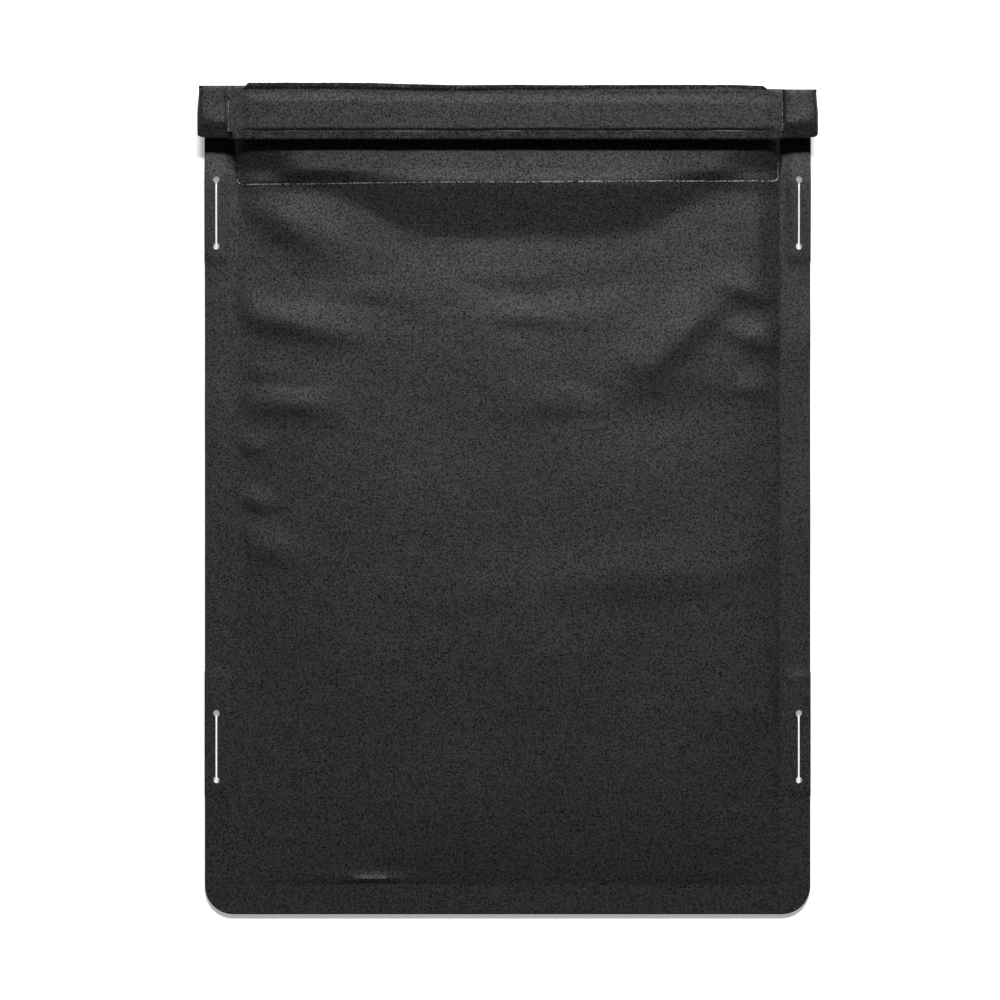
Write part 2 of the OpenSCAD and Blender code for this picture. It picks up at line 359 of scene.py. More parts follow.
def in_slits(x, y, grow):
    inside = np.zeros(np.broadcast(x, y).shape, bool)
    for sx, sy, pitch, radius in SLITS:
        for end in (-1, 1):
            inside |= np.hypot(x - sx, y - sy - end * pitch / 2) < radius + grow
        inside |= (np.abs(x - sx) < SLIT_CUT_W / 2 + grow) & (np.abs(y - sy) < pitch / 2)
    return inside


def in_pouch(x, y, end_y, shrink):
    r = CORNER_R
    d = np.hypot(np.abs(x) - (HALF_W - r), y - (BOTTOM_Y + r))
    corner = (np.abs(x) > HALF_W - r) & (y < BOTTOM_Y + r)
    square = (np.abs(x) < HALF_W - shrink) & (y > BOTTOM_Y + shrink) & (y < end_y - shrink)
    return square & (~corner | (d < r - shrink))


def triangulate(loops, grid_x, grid_y, inside):
    """Triangles that fill the first loop round the others, through the grid points inside."""
    gx, gy = (g.ravel() for g in np.meshgrid(grid_x, grid_y))
    keep = inside(gx, gy, 0.5)
    points = [Vector(p) for loop in loops for p in loop]
    edges, start = [], 0
    for loop in loops:
        n = len(loop)
        edges += [(start + i, start + (i + 1) % n) for i in range(n)]
        start += n
    points += [Vector(p) for p in zip(gx[keep], gy[keep])]
    verts, _, faces, *_ = delaunay_2d_cdt(points, edges, [], 0, 1e-4)
    xy = np.array([tuple(v) for v in verts])
    triangles = np.array([f for f in faces if len(f) == 3])
    a, b, c = (xy[triangles[:, i]] for i in range(3))
    middle = (a + b + c) / 3
    area = (b[:, 0] - a[:, 0]) * (c[:, 1] - a[:, 1]) - (b[:, 1] - a[:, 1]) * (c[:, 0] - a[:, 0])
    triangles[area < 0] = triangles[area < 0][:, ::-1]
    return xy, triangles[inside(middle[:, 0], middle[:, 1], 0.0) & (np.abs(area) > 1e-7)]


def rim_edges(triangles):
    """The directed edges that only one triangle has."""
    edges = np.concatenate([triangles[:, [0, 1]], triangles[:, [1, 2]], triangles[:, [2, 0]]])
    key = np.sort(edges, axis=1)
    _, index, count = np.unique(key, axis=0, return_index=True, return_counts=True)
    return edges[index[count == 1]]


def closed_sheet(name, xy, triangles, top_z, bottom_z, materials, spread=None):
    """A sheet with a cut rim in the last material; spread slopes the rim outwards below."""
    n = len(xy)
    rim = rim_edges(triangles)
    below = xy.copy()
    if spread is not None:
        out = np.zeros_like(xy)
        d = xy[rim[:, 1]] - xy[rim[:, 0]]
        normal = np.stack([d[:, 1], -d[:, 0]], 1) / np.maximum(np.linalg.norm(d, axis=1), 1e-9)[:, None]
        np.add.at(out, rim[:, 0], normal)
        np.add.at(out, rim[:, 1], normal)
        length = np.linalg.norm(out, axis=1)
        moved = length > 1e-9
        reach = np.asarray(spread(xy[:, 0], xy[:, 1]))[moved, None]
        below[moved] += reach * out[moved] / length[moved, None]
    points = np.concatenate([np.column_stack([xy, top_z]), np.column_stack([below, bottom_z])])
    faces = triangles.tolist() + (triangles[:, ::-1] + n).tolist()
    faces += [(b, a, a + n, b + n) for a, b in rim.tolist()]
    index = [0] * (2 * len(triangles)) + [len(materials) - 1] * len(rim)
    cloth = np.column_stack([np.concatenate([xy, below]), np.zeros(2 * n)])
    return new_object(name, points, faces, cloth, materials, index)


class Path:
    """A curve in the YZ plane, walked by its length, with its left-hand normal."""

    def __init__(self, points):
        self.p = np.array(points, float)
        step = np.linalg.norm(np.diff(self.p, axis=0), axis=1)
        self.s = np.concatenate([[0], np.cumsum(step)])
        self.length = self.s[-1]
        t = np.gradient(self.p, self.s, axis=0)
        t /= np.linalg.norm(t, axis=1)[:, None]
        self.n = np.stack([-t[:, 1], t[:, 0]], 1)

    def between(self, s, values):
        return np.stack([np.interp(s, self.s, values[:, k]) for k in (0, 1)], -1)

    def at(self, s):
        return self.between(s, self.p)

    def nearest(self, y, z):
        return self.s[np.argmin(np.hypot(self.p[:, 0] - y, self.p[:, 1] - z))]

    def normal(self, s):
        n = self.between(s, self.n)
        return n / np.linalg.norm(n, axis=-1, keepdims=True)


def rounded_path(corners, radii, step=0.6):
    """A path through the corners, each rounded to its radius."""
    corners = np.array(corners, float)
    points = [corners[0]]
    for before, at, after, r in zip(corners, corners[1:], corners[2:], radii):
        u, v = before - at, after - at
        u, v = u / np.linalg.norm(u), v / np.linalg.norm(v)
        half = math.acos(np.clip(np.dot(u, v), -1, 1)) / 2
        reach = r / math.tan(half)
        middle = at + (u + v) / np.linalg.norm(u + v) * r / math.sin(half)
        first, last = at + u * reach, at + v * reach
        turn = math.pi - 2 * half
        a, b = first - middle, last - middle
        for t in np.linspace(0, 1, max(4, round(turn / 0.12))):
            points.append(middle + (a * math.sin((1 - t) * turn) + b * math.sin(t * turn)) / math.sin(turn))
    points.append(corners[-1])
    path = [points[0]]
    for p in points[1:]:
        gap = np.linalg.norm(p - path[-1])
        if gap > 1e-6:
            start, n = path[-1], max(1, math.ceil(gap / step))
            path += [start + (p - start) * k / n for k in range(1, n + 1)]
    return Path(path)


def swept_sheet(name, path, xs, s_lines, thickness, materials, lift, start=None, widen=None,
                side_bevel=0, fringe=None, adjust=None, frayed_shade_part=None):
    """A sheet that follows path in YZ and runs along X.

    thickness is a number or a function of x. lift(x, s) raises the outer face, on the path's right.
    start(x) is where the sheet begins, widen(x, s) moves a point along X and adjust changes the
    finished points. side_bevel is how far the inner face stands out at the sides, and fringe(x) how
    far it goes past the outer one at the first end and lifts there. The last argument, of (x, s),
    picks the outer faces of frayed edge, whose dark colour is partly painted shade.
    """
    xs, s_lines = np.asarray(xs, float), np.asarray(s_lines, float)
    x, s = (g.T for g in np.meshgrid(xs, s_lines))
    if start is not None:
        first, end = start(x), s_lines[-1]
        s = first + (s - s_lines[0]) * (end - first) / (end - s_lines[0])
    up = lift(x, s)
    shown_x = x if widen is None else widen(x, s)
    outer = path.at(s) - path.normal(s) * up[..., None]
    depth = thickness(x) if callable(thickness) else thickness
    inner_s, inner_x, inner_up = s.copy(), shown_x.copy(), up - depth
    inner_x[[0, -1]] += [[-side_bevel], [side_bevel]]
    if fringe is not None:
        along, out = fringe(xs)
        inner_s[:, 0] -= along
        inner_up[:, 0] += out
    inner = path.at(inner_s) - path.normal(inner_s) * inner_up[..., None]
    nx, ns = x.shape
    faces_xyz = [np.dstack([shown_x, outer]), np.dstack([inner_x, inner])]
    points = np.stack(faces_xyz).reshape(-1, 3)
    if adjust is not None:
        points = adjust(points)
    cloth = np.column_stack([x.ravel(), s.ravel(), np.zeros(x.size)])
    n = nx * ns
    at = np.arange(n).reshape(nx, ns)
    skin = np.stack([at[:-1, :-1], at[:-1, 1:], at[1:, 1:], at[1:, :-1]], -1).reshape(-1, 4)
    ring = np.concatenate([at[:, 0], at[-1, 1:-1], at[::-1, -1], at[0, -2:0:-1]])
    after = np.roll(ring, -1)
    rim = np.stack([ring, after, after + n, ring + n], 1)
    faces = skin.tolist() + (skin[:, ::-1] + n).tolist() + rim.tolist()
    at_start = [1] * (nx - 1) + [min(2, len(materials) - 1)] * (len(ring) - nx + 1)
    outer_skin = np.zeros(len(skin), int)
    if frayed_shade_part is not None:
        outer_skin[frayed_shade_part(x.ravel()[skin].mean(1), s.ravel()[skin].mean(1))] = 1
    index = outer_skin.tolist() + [0] * len(skin) + at_start
    return new_object(name, points, faces, [cloth, cloth], materials, index)


# ---- materials


class Nodes:
    """A short way to write a material's node tree."""

    def __init__(self, name):
        self.material = bpy.data.materials.new(name)
        self.material.use_nodes = True
        self.tree = self.material.node_tree
        self.shader = self.tree.nodes["Principled BSDF"]

    def add(self, kind, **settings):
        node = self.tree.nodes.new("ShaderNode" + kind)
        for key, value in settings.items():
            setattr(node, key, value)
        return node

    def put(self, socket, value):
        if isinstance(value, bpy.types.NodeSocket):
            self.tree.links.new(value, socket)
        else:
            socket.default_value = value

    def fill(self, node, **values):
        """Values for a node's inputs, with _ for the spaces in their names."""
        for key, value in values.items():
            self.put(node.inputs[key.replace("_", " ")], value)

    def set(self, **values):
        self.fill(self.shader, **values)

    def object_place(self):
        return self.add("TexCoord").outputs["Object"]

    def cloth_place(self):
        return self.add("Attribute", attribute_name="cloth").outputs["Vector"]

    def math(self, operation, a, b=0.0, kind="Math"):
        node = self.add(kind, operation=operation)
        self.put(node.inputs[0], a)
        self.put(node.inputs[1], b)
        return node.outputs[0]

    def stretched(self, place, scale):
        return self.math("MULTIPLY", place, scale, "VectorMath")

    def blend(self, first, second):
        """The sum of two values, each with its share."""
        return self.math("ADD", self.math("MULTIPLY", *first), self.math("MULTIPLY", *second))

    def noise(self, vector, scale, detail=2.0, roughness=0.5):
        node = self.add("TexNoise")
        self.fill(node, Vector=vector, Scale=scale, Detail=detail, Roughness=roughness)
        return node.outputs["Fac"]

    def map(self, value, low, high, to_low, to_high):
        node = self.add("MapRange")
        self.fill(node, Value=value, From_Min=low, From_Max=high, To_Min=to_low, To_Max=to_high)
        return node.outputs["Result"]

    def mix(self, factor, a, b):
        node = self.add("Mix", data_type="RGBA")
        self.put(node.inputs["Factor"], factor)
        self.put(node.inputs[6], a)
        self.put(node.inputs[7], b)
        return node.outputs[2]

    def bump(self, height, distance, normal=None):
        node = self.add("Bump")
        self.fill(node, Strength=1.0, Distance=distance, Height=height)
        if normal is not None:
            self.fill(node, Normal=normal)
        return node.outputs["Normal"]


def grey(value, warmth=0.0):
    return (value * (1 + warmth), value, value * (1 - warmth), 1.0)


def woven_fabric(name, dark, light, roughness, thread=0.5, specular=0.33):
    """Coated plain-woven nylon: threads, uneven yarns and a grainy film."""
    m = Nodes(name)
    cloth = m.cloth_place()
    parts = m.add("SeparateXYZ")
    m.fill(parts, Vector=cloth)
    across, along = (
        m.math("SINE", m.math("MULTIPLY", parts.outputs[axis], math.pi / thread)) for axis in ("X", "Y")
    )
    over = m.math("GREATER_THAN", m.math("MULTIPLY", across, along), 0.0)
    warp = m.math("MULTIPLY", m.math("ABSOLUTE", across), over)
    weft = m.math("MULTIPLY", m.math("ABSOLUTE", along), m.math("SUBTRACT", 1.0, over))
    weave = m.math("ADD", warp, weft)
    stretches = (1 / thread, 0.12, 1.0), (0.12, 1 / thread, 1.0)
    yarns = m.math("ADD", *(m.noise(m.stretched(cloth, stretch), 0.9, 1.0) for stretch in stretches))
    grain = m.noise(cloth, 1.25, 1.0)
    glint = m.add("TexWhiteNoise")
    m.fill(glint, Vector=m.math("SNAP", cloth, (thread, thread, 1.0), "VectorMath"))
    uneven = m.noise(cloth, 0.10, 3.0)
    shade = m.blend((grain, 0.80), (yarns, 0.10))
    tone = m.blend((m.map(shade, 0.34, 0.66, 0.0, 1.0), 0.4), (glint.outputs["Value"], 0.6))
    normal = None
    for relief, depth in ((uneven, 0.15), (yarns, 0.012), (grain, 0.04), (weave, 0.05)):
        normal = m.bump(relief, depth * MM, normal)
    m.set(
        Base_Color=m.mix(tone, grey(dark, 0.012), grey(light, 0.012)),
        Specular_Tint=m.mix(tone, grey(0.05), grey(1.95)),
        Roughness=m.map(shade, 0.34, 0.66, roughness - 0.04, roughness + 0.04),
        Normal=normal,
        Specular_IOR_Level=specular,
    )
    return m.material


def cut_edge(name, thread_colour, bare=0.46):
    """A raw cut edge: pale thread ends between bits of dark coating."""
    m = Nodes(name)
    cloth = m.cloth_place()
    ends = m.noise(cloth, 1.3, 1.0, 0.6)
    tufts = m.noise(cloth, 0.12, 2.0)
    amount = m.map(m.blend((ends, 0.7), (tufts, 0.3)), bare, bare + 0.12, 0.0, 1.0)
    colour = m.mix(amount, grey(0.006), grey(thread_colour, 0.01))
    m.set(Base_Color=colour, Roughness=0.85, Specular_IOR_Level=0.15, Normal=m.bump(ends, 0.1 * MM))
    return m.material


def hard_surface(name, stretch, detail, colours, roughness, depth, **values):
    """Fine drawn-out marks that change the colour, the gloss and the relief."""
    m = Nodes(name)
    marks = m.noise(m.stretched(m.object_place(), stretch), 1.0, detail)
    colour = m.mix(m.map(marks, 0.3, 0.7, 0, 1), *colours)
    gloss = m.map(marks, 0.3, 0.7, *roughness)
    m.set(Base_Color=colour, Roughness=gloss, Normal=m.bump(marks, depth), **values)
    return m.material


def film(name, colour, roughness):
    """A smooth black film with a fine leather-like press."""
    m = Nodes(name)
    place = m.object_place()
    press = m.noise(place, 900.0, 3.0)
    soft = m.noise(place, 60.0, 2.0)
    colour = m.mix(m.map(soft, 0.35, 0.65, 0, 1), grey(colour * 0.8), grey(colour * 1.2))
    gloss = m.map(press, 0.3, 0.7, roughness + 0.06, roughness - 0.06)
    m.set(Base_Color=colour, Roughness=gloss, Normal=m.bump(press, 0.03 * MM))
    return m.material


fabric = woven_fabric("coated_fabric", 0.0, 0.021, 0.45)
patch_fabric = woven_fabric("patch_fabric", 0.0, 0.020, 0.45, specular=0.29)
binding_fabric = woven_fabric("binding_fabric", 0.0, 0.02, 0.46, thread=0.7)
lining_fabric = woven_fabric("lining_fabric", 0.006, 0.009, 0.75, thread=0.35, specular=0.3)
raw_edge = cut_edge("raw_edge", 0.50, 0.445)
# frayed strip at the fold: dark thread ends, made darker still because the strip faces the key light; partly
# painted shade
frayed_edge_painted_shade = cut_edge("frayed_edge_painted_shade", 0.07, 0.56)
dull_edge = cut_edge("dull_edge", 0.06)
seam_film = film("seam_film", 0.012, 0.5)
bar_plastic = hard_surface(
    "bar_plastic", (40.0, 900.0, 900.0), 3.0, (grey(0.045), grey(0.07)), (0.5, 0.4), 0.05 * MM
)
magnet_nickel = hard_surface(
    "magnet_nickel",
    (3000.0, 200.0, 200.0), 2.0, (grey(0.55, 0.02), grey(0.7, 0.02)), (0.35, 0.22), 0.01 * MM,
    Metallic=1.0,
)
cut_fabric = [fabric, dull_edge]

# ---- camera, light and floor


def softbox(name, place, size, power):
    """An area light at place that points at the bag's middle."""
    light = bpy.data.lights.new(name, "AREA")
    light.shape = "RECTANGLE"
    light.size, light.size_y = size
    light.energy = power
    obj = add_object(name, light)
    obj.location = place
    obj.rotation_euler = (Vector() - obj.location).to_track_quat("-Z", "Y").to_euler()


def set_scene():
    """A camera straight above, a long low key light behind the fold, a weak fill, a dim room."""
    view_height, view_width, sensor_width = 1.3, 0.42, 36.0
    camera_data = bpy.data.cameras.new("camera")
    camera_data.sensor_width = sensor_width
    camera_data.lens = sensor_width * view_height / view_width
    camera = add_object("camera", camera_data)
    camera.location = (-0.0032, 0.0013, view_height)
    bpy.context.scene.camera = camera

    softbox("key", place=(0.15, 1.60, 1.60), size=(1.0, 0.26), power=88)
    softbox("fill", place=(0.0, -1.2, 1.3), size=(1.2, 0.6), power=1.5)

    world = bpy.data.worlds.new("studio")
    world.use_nodes = True
    background = world.node_tree.nodes["Background"]
    background.inputs["Color"].default_value = (1, 1, 1, 1)
    background.inputs["Strength"].default_value = 0.03
    bpy.context.scene.world = world
    bpy.context.scene.view_settings.view_transform = "Standard"

    floor_mesh = bpy.data.meshes.new("floor")
    floor_mesh.from_pydata([(-3, -3, 0), (3, -3, 0), (3, 3, 0), (-3, 3, 0)], [], [(0, 1, 2, 3)])
    floor = add_object("floor", floor_mesh)
    floor.location.z = -0.2 * MM
    m = Nodes("floor_paper")
    m.set(Base_Color=m.mix(m.noise(m.object_place(), 300.0), grey(0.90), grey(0.93)), Roughness=0.9)
    m.set(Emission_Color=(1, 1, 1, 1), Emission_Strength=0.35)
    floor_mesh.materials.append(m.material)


# ---- the pouch


def stands_for(obj, node, body=None):
    """Hides a piece's CAD node, and attaches the piece to its body when it rides just one."""
    if body is not None:
        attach(obj, body)
    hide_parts(node)


def in_box(x, y, low, high, shrink):
    return (x > low[0] + shrink) & (x < high[0] - shrink) & (y > low[1] + shrink) & (y < high[1] - shrink)


def make_pouch_sheets():
    """The front and the back sheet, each with its four lash slits."""
    slits = [slit_outline(*slit) for slit in SLITS]

    def sheet(side, end_y, step, outline_step, faces):
        grid_x = graded(-HALF_W, HALF_W, step, fine=(-WELD_X, WELD_X))
        grid_y = graded(BOTTOM_Y, end_y, step, fine=(WELD_Y,))

        def inside(x, y, shrink):
            return in_pouch(x, y, end_y, shrink) & ~in_slits(x, y, shrink)

        xy, triangles = triangulate([pouch_outline(end_y, outline_step)] + slits, grid_x, grid_y, inside)
        top, bottom = faces(xy[:, 0], xy[:, 1])
        obj = closed_sheet(f"{side}_sheet", xy, triangles, top, bottom, cut_fabric)
        stands_for(obj, f"{side}_panel", "pouch")

    def front_faces(x, y):
        top = front_z(x, y)
        return top, top - FABRIC + 0.05

    def back_faces(x, y):
        bottom = margin_lift(x, y)
        return bottom + FABRIC, bottom

    sheet("front", FRONT_END_Y, 1.9, 1.6, front_faces)
    sheet("back", FOLD_Y - FOLD_RADIUS, 3.0, 2.5, back_faces)


def make_margins():
    """The seam film and the slit reinforcements between the two sheets."""
    for side, sign in (("left", -1), ("right", 1)):
        patches = [(low, high) for low, high in SLIT_PATCHES if low[0] * sign > 0]
        make_seam(side, sign, patches)
        for low, high in patches:
            row = "upper" if high[1] > 0 else "lower"
            slit = next(s for s in SLITS if in_box(s[0], s[1], low, high, 0))
            make_slit_patch(f"slit_patch_{row}_{side}", low, high, slit)


def rectangle(low, high, step=2.0):
    """Points round a rectangle, anticlockwise."""
    xs, ys = np.arange(low[0], high[0], step), np.arange(low[1], high[1], step)
    loop = [(x, low[1]) for x in xs] + [(high[0], y) for y in ys]
    loop += [(high[0] - (x - low[0]), high[1]) for x in xs]
    return loop + [(low[0], high[1] - (y - low[1])) for y in ys]


def between_sheets(name, low, high, step_y, holes, inside, materials, step_x=2.0):
    """A flat piece in a margin, which bows with the sheets."""
    grid = graded(low[0], high[0], step_x), graded(low[1], high[1], step_y)
    xy, triangles = triangulate([rectangle(low, high)] + holes, *grid, inside)
    lift = margin_lift(xy[:, 0], xy[:, 1])
    return closed_sheet(name, xy, triangles, lift + SEAM_TOP, lift + FABRIC, materials)


def make_seam(side, sign, patches):
    low, high = (seam_low, seam_high) if sign > 0 else box_mm("side_seam_left")
    windows = [(a - 0.1, b + 0.1) for a, b in patches]

    def inside(x, y, shrink):
        keep = in_box(x, y, low, high, shrink)
        for a, b in windows:
            keep &= ~in_box(x, y, a, b, -shrink)
        return keep

    holes = [rectangle(a, b) for a, b in windows]
    obj = between_sheets(f"seam_sheet_{side}", low, high, 3.0, holes, inside, [seam_film])
    stands_for(obj, f"side_seam_{side}", "pouch")


def make_slit_patch(node, low, high, slit):
    def inside(x, y, shrink):
        return in_box(x, y, low, high, shrink) & ~in_slits(x, y, shrink)

    holes, materials = [slit_outline(*slit)], [patch_fabric, dull_edge]
    obj = between_sheets(f"{node}_sheet", low, high, 2.0, holes, inside, materials, step_x=1.6)
    stands_for(obj, node, "pouch")


def make_linings():
    """Two loose sheets inside, which follow the front and the back sheet."""
    inner_x = WELD_X - 1.0
    thickness, clearance = 0.25, 0.05
    xs = graded(-inner_x, inner_x, 4.0)
    ys = graded(WELD_Y + 1.0, FRONT_END_Y - 0.5, 4.0)
    loop = rectangle((xs[0], ys[0]), (xs[-1], ys[-1]), 2.5)

    def inside(x, y, shrink):
        return in_box(x, y, (-inner_x, ys[0]), (inner_x, ys[-1]), shrink)

    xy, triangles = triangulate([loop], xs, ys, inside)
    top = np.maximum(front_z(xy[:, 0], xy[:, 1]) - FABRIC - clearance, 1.15)
    low = np.full(len(xy), FABRIC + clearance)
    for side, upper, lower in (("front", top, top - thickness), ("back", low + thickness, low)):
        obj = closed_sheet(f"{side}_lining_sheet", xy, triangles, upper, lower, [lining_fabric, dull_edge])
        stands_for(obj, f"{side}_lining", "pouch")


def make_landing_patch():
    """The wide patch over the front and the magnet strip, cut a little out of square."""
    half = landing_high[0]
    low, high = landing_low[1] + 0.6, strip_high[1] + 0.4
    fray = Waves(21, 1.2, 3.0)
    r, step, slope = 2.0, 0.6, 0.0065
    left, right = round_corners(half, low, r, 7)
    loop = left + [(x, low) for x in np.arange(-half + r + step, half - r - step / 2, step)] + right
    loop += [(half, y) for y in np.arange(low + r + step, high - step / 2, step)]
    loop += [(half, high)] + [(x, high) for x in np.arange(half - 2, -half + 1, -2.0)] + [(-half, high)]
    loop += [(-half, y) for y in np.arange(high - step, low + r + step / 2, -step)]
    loop = [
        (x + 0.05 * float(fray(y, 3)), y + (0.10 * float(fray(x, 7)) + slope * x if y < low + r else 0))
        for x, y in loop
    ]

    def inside(x, y, shrink):
        slant = slope * x * smooth((low + 4 - y) / 2)
        d = rounded_box_distance(x, y - slant - (low + high) / 2, half, (high - low) / 2, r * (shrink > 0))
        return d < -shrink + 0.08

    xs = graded(-half, half, 1.4)
    ys = graded(low, high, 1.2, fine=(strip_low[1],))
    xy, triangles = triangulate([loop], xs, ys, inside)
    top = landing_z(xy[:, 0], xy[:, 1])

    def spread(x, y):
        return 0.07 + 0.32 * smooth((low + 3 - y) / 2) + 0.10 * (x > 0)

    edges = [patch_fabric, raw_edge]
    patch = closed_sheet("landing_patch_sheet", xy, triangles, top, top - 0.34, edges, spread=spread)
    stands_for(patch, "landing_patch", "pouch")


# ---- the fold and the flap

FOLD_RADIUS = 5.5
CREASE_RADIUS = 1.0
EDGE_RADIUS = 0.6
LIP_TOP = bar_high[2] - 0.3  # outer face of the back lip beside the bar
BAR_RISE = 0.42  # how much higher it is over the bar

wall_corners = [(FOLD_Y - FOLD_RADIUS - 0.5, 0.0), (FOLD_Y, 0.0), (FOLD_Y, LIP_TOP), (MOUTH_Y, LIP_TOP)]
wall_corners += [(MOUTH_Y, LIP_TOP - 1.35), (MOUTH_Y + 1.2, LIP_TOP - 1.35)]
wall = rounded_path(wall_corners, [FOLD_RADIUS, CREASE_RADIUS, EDGE_RADIUS, EDGE_RADIUS], step=0.4)
wall_half = wall.nearest(FOLD_Y, FOLD_RADIUS + 0.2)
CREASE_START = wall.nearest(FOLD_Y, LIP_TOP - CREASE_RADIUS)
CREASE_MIDDLE = wall.nearest(FOLD_Y - 0.3 * CREASE_RADIUS, LIP_TOP - 0.3 * CREASE_RADIUS)
CREASE_END = wall.nearest(FOLD_Y - CREASE_RADIUS, LIP_TOP)


def wall_s(below_fold):
    """Where the wall path is that far below the fold, on the flap's top."""
    return CREASE_END + below_fold - CREASE_RADIUS


def on_middle(y, z):
    """A place on the bag's middle line, in metres."""
    return (0, y * MM, z * MM)


bar_mid_s = wall_s(FOLD_Y - (bar_low[1] + bar_high[1]) / 2)
bar_half_h = (bar_high[1] - bar_low[1]) / 2
bar_half_w = bar_high[0]
lip_waves = Waves(31, 14, 40)
lip_ripples = Waves(33, 2.5, 7, 20)
frayed = Waves(35, 0.9, 2.5, 20)


def bar_print(x, s):
    """How far the bar lifts the sheets: 1 over it, 0 away from it."""
    d = rounded_box_distance(x, s - bar_mid_s, bar_half_w, bar_half_h, 3.4)
    crisp = smooth((s - bar_mid_s - 3) / 2)
    soft = 1 - smooth((d + 2.0) / 4.0)
    edge = 0.35 * (1 - smooth((d + 0.4) / 1.3)) + 0.65 * (1 - soft_ramp(d / 4.5))
    return soft * (1 - crisp) + edge * crisp


def lip_droop(s):
    """The lip slopes down a little between the bar and the mouth."""
    return -0.38 * np.clip((s - bar_mid_s - bar_half_h - 0.6) / 4.5, 0, 1)


def lip_lift(x, s):
    return BAR_RISE * bar_print(x, s) + 0.05 * lip_waves(x, s) + lip_droop(s)


def patch_lift(x, s):
    """The patch shows the bar through it, with a pressed groove and a shallow one below it."""
    settle = smooth((s - CREASE_START - 0.5) / 2.5)
    below = s - bar_mid_s - bar_half_h
    wander = 0.12 * lip_waves(x, 0)
    grooves = 0.40 * bell(below - 0.7 - wander, 0.6) + 0.10 * bell(below - 3.3 - wander, 0.5)
    grooves = grooves * smooth((bar_half_w + 3 - np.abs(x)) / 5)
    relief = BAR_RISE * bar_print(x, s) - grooves
    flange = 0.9 * (1 - smooth((s - patch_start(x)) / frayed_width(x))) * frayed_here(x)
    ripple = 0.06 * lip_waves(x, s) + 0.012 * lip_ripples(x, s)
    return 0.42 + settle * relief + flange + ripple + lip_droop(s)


PATCH_LEFT = -FLAP_HALF_W - 1.7
PATCH_RIGHT = FLAP_HALF_W - 0.2


def patch_edge(x):
    """How far inside the patch's nearer side a place is."""
    return np.minimum(x - PATCH_LEFT, PATCH_RIGHT - x)


def frayed_here(x):
    """1 where the patch's edge is a frayed strip over the fold, 0 near its corners."""
    return smooth((patch_edge(x) - 5.5) / 3.0)


def frayed_width(x):
    """The strip is widest at the left."""
    return 1.9 - 1.0 * smooth((x + 60) / 130)


def patch_start(x):
    """The patch's round corners at the fold, and its uneven cut."""
    r = 5.0
    edge = np.clip(r - patch_edge(x), 0, r)
    cut = 0.08 * lip_waves(x, 3) + 0.06 * lip_ripples(x, 5)
    bare = (1 - frayed_here(x)) * (frayed_width(x) - 0.3)
    return CREASE_MIDDLE - 0.3 + bare + cut + r - np.sqrt(r * r - edge * edge)


def patch_fringe(x):
    """The cut edge stands out a little past the strip."""
    here = frayed_here(x)
    wide = 1.0 - 0.5 * smooth(x / 100 + 0.3) + 0.15 * frayed(x, 0)
    return here * wide * 0.4, here * (0.15 + 0.08 * frayed(x, 9)) + 0.03


# faces of the frayed strip that take its dark colour: frayed threads, and painted shade on a face turned to
# the light
def on_frayed_painted_shade_strip(x, s):
    line = 0.25 * frayed(x, 4)
    return (s < patch_start(x) + frayed_width(x) + line - 0.2) & (frayed_here(x) > 0.4)


def slant_fold(points):
    """Folded by hand: the fold runs a little out of line towards its ends."""
    x, y, z = points.T
    shift = 0.95 * smooth((-x - 15) / 60) - 0.65 * smooth((x - 92) / 28)
    return np.column_stack([x, y + shift * smooth((y - 158) / 12) * smooth((z - 3) / 6), z])


def fold_widen(x, s):
    """The margins bulge outwards on the way round the fold."""
    share = smooth((np.abs(x) - WELD_X) / (HALF_W - WELD_X)) * smooth(s / CREASE_START)
    return x + np.sign(x) * share * (TAB_X - HALF_W)


def margin_depth(x):
    """One sheet thick, and as thick as the welded margins at the two sides."""
    return FABRIC + (MARGIN_TOP - 0.15 - FABRIC) * smooth((np.abs(x) - WELD_X + 0.6) / 0.8)


def make_fold():
    """The outer wall, in two halves split halfway round the fold."""
    xs = graded(-HALF_W, HALF_W, 2.5, fine=(-WELD_X, WELD_X))
    waves = Waves(41, 12, 40)

    def lift(x, s):
        return 0.06 * waves(x, s) * smooth(s / 3) * smooth((CREASE_MIDDLE - s) / 3)

    def half(name, s_lines):
        return swept_sheet(
            name, wall, xs, s_lines, margin_depth, cut_fabric, lift, widen=fold_widen, adjust=slant_fold
        )

    lower = half("fold_lower_sheet", np.linspace(0, wall_half, 15))
    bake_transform(lower)
    stands_for(lower, "fold_outer")
    upper = half("fold_upper_sheet", np.linspace(wall_half, CREASE_MIDDLE, 13))
    start, end = (on_middle(*wall.at(s)) for s in (CREASE_START, CREASE_MIDDLE))
    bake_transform(upper)


